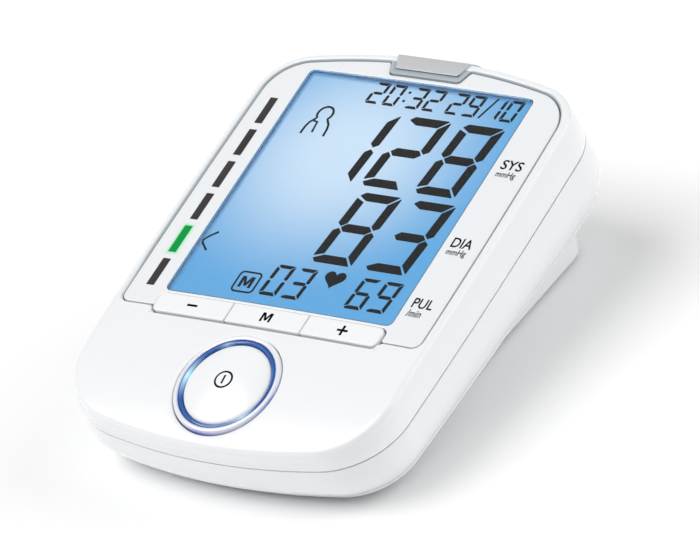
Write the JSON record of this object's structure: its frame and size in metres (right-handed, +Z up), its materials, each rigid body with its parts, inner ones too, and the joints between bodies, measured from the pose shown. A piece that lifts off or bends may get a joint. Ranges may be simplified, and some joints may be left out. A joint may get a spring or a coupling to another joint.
{
  "type": "upper arm blood pressure monitor",
  "caption": "Desk-top upper arm blood pressure monitor: sloping display deck with three keys, round start button, internal pump, valve and battery bay.",
  "frame": {"origin": "on the table under the middle of the object", "axes": "+Z up, +Y from the start button towards the raised rear edge, +X to the right of someone reading the display"},
  "size_m": [0.1192, 0.1572, 0.0595],
  "materials": {
    "white_shell": "glossy white moulded plastic",
    "white_key": "satin white moulded plastic",
    "silver_trim": "satin silver",
    "display_panel": "clear acrylic panel printed white round a blue window",
    "clear_bezel": "clear moulded plastic",
    "blue_guide": "blue lit plastic ring",
    "lcd": "blue backlit liquid crystal cell",
    "white_inner": "plain moulded plastic",
    "circuit_board": "green solder mask",
    "black_plastic": "matt black",
    "bright_metal": "plated steel",
    "battery_wrap": "plain dark blue printed wrap",
    "air_hose": "translucent silicone",
    "grey_rubber": "matt grey"
  },
  "bodies": {
    "housing": {"top_case": "white_shell", "bottom_case": "white_shell", "badge": "silver_trim", "display_lens": "display_panel", "start_button_bezel": "clear_bezel", "ring_light_guide": "blue_guide", "lcd_glass": "lcd", "lcd_backlight": "white_inner", "lcd_holder": "white_inner", "indicator_light_guide": "white_inner", "pump_head": "white_inner", "air_manifold": "white_inner", "cuff_socket": "white_inner", "main_board": "circuit_board", "indicator_led_strip": "circuit_board", "controller_chip": "black_plastic", "tact_switch_minus": "black_plastic", "tact_switch_memory": "black_plastic", "tact_switch_plus": "black_plastic", "tact_switch_start": "black_plastic", "release_valve": "black_plastic", "dc_jack": "black_plastic", "pressure_sensor": "bright_metal", "pump_motor": "bright_metal", "case_screw_1": "bright_metal", "case_screw_2": "bright_metal", "case_screw_3": "bright_metal", "case_screw_4": "bright_metal", "board_screw_1": "bright_metal", "board_screw_2": "bright_metal", "battery_spring_1": "bright_metal", "battery_spring_2": "bright_metal", "battery_spring_3": "bright_metal", "battery_spring_4": "bright_metal", "contact_plate_front_left": "bright_metal", "contact_plate_front_right": "bright_metal", "contact_plate_rear_left": "bright_metal", "contact_plate_rear_middle": "bright_metal", "contact_plate_rear_right": "bright_metal", "battery_1": "battery_wrap", "battery_2": "battery_wrap", "battery_3": "battery_wrap", "battery_4": "battery_wrap", "air_tube_pump": "air_hose", "air_tube_valve": "air_hose", "air_tube_socket": "air_hose", "rubber_foot_1": "grey_rubber", "rubber_foot_2": "grey_rubber", "rubber_foot_3": "grey_rubber", "rubber_foot_4": "grey_rubber"},
    "minus_key": {"key_minus": "white_key"},
    "memory_key": {"key_memory": "white_key"},
    "plus_key": {"key_plus": "white_key"},
    "start_key": {"start_button": "white_key"},
    "pump_rotor": {"pump_shaft": "bright_metal"},
    "valve_rod": {"valve_plunger": "bright_metal"},
    "battery_door": {"battery_cover": "white_shell"}
  },
  "joints": [
    {"name": "minus_press", "type": "slide", "parent": "housing", "child": "minus_key", "axis": [0, 0.1977, -0.9803], "range_m": [0, 0.0006], "stiffness_N_per_m": 400, "springref_m": -0.0003},
    {"name": "memory_press", "type": "slide", "parent": "housing", "child": "memory_key", "axis": [0, 0.1977, -0.9803], "range_m": [0, 0.0006], "stiffness_N_per_m": 400, "springref_m": -0.0003},
    {"name": "plus_press", "type": "slide", "parent": "housing", "child": "plus_key", "axis": [0, 0.1977, -0.9803], "range_m": [0, 0.0006], "stiffness_N_per_m": 400, "springref_m": -0.0003},
    {"name": "start_press", "type": "slide", "parent": "housing", "child": "start_key", "axis": [0, 0.3049, -0.9524], "range_m": [0, 0.0008], "stiffness_N_per_m": 500, "springref_m": -0.0003},
    {"name": "pump_spin", "type": "hinge", "parent": "housing", "child": "pump_rotor", "pos_m": [-0.001, -0.0075, 0.0154], "axis": [1, 0, 0], "continuous": true},
    {"name": "valve_stroke", "type": "slide", "parent": "housing", "child": "valve_rod", "axis": [0, 1, 0], "range_m": [0, 0.0012], "stiffness_N_per_m": 300, "springref_m": -0.0003},
    {"name": "battery_door_swing", "type": "hinge", "parent": "housing", "child": "battery_door", "pos_m": [0, 0.0084, 0.0012], "axis": [-1, 0, 0], "range_deg": [0, 75]}
  ]
}
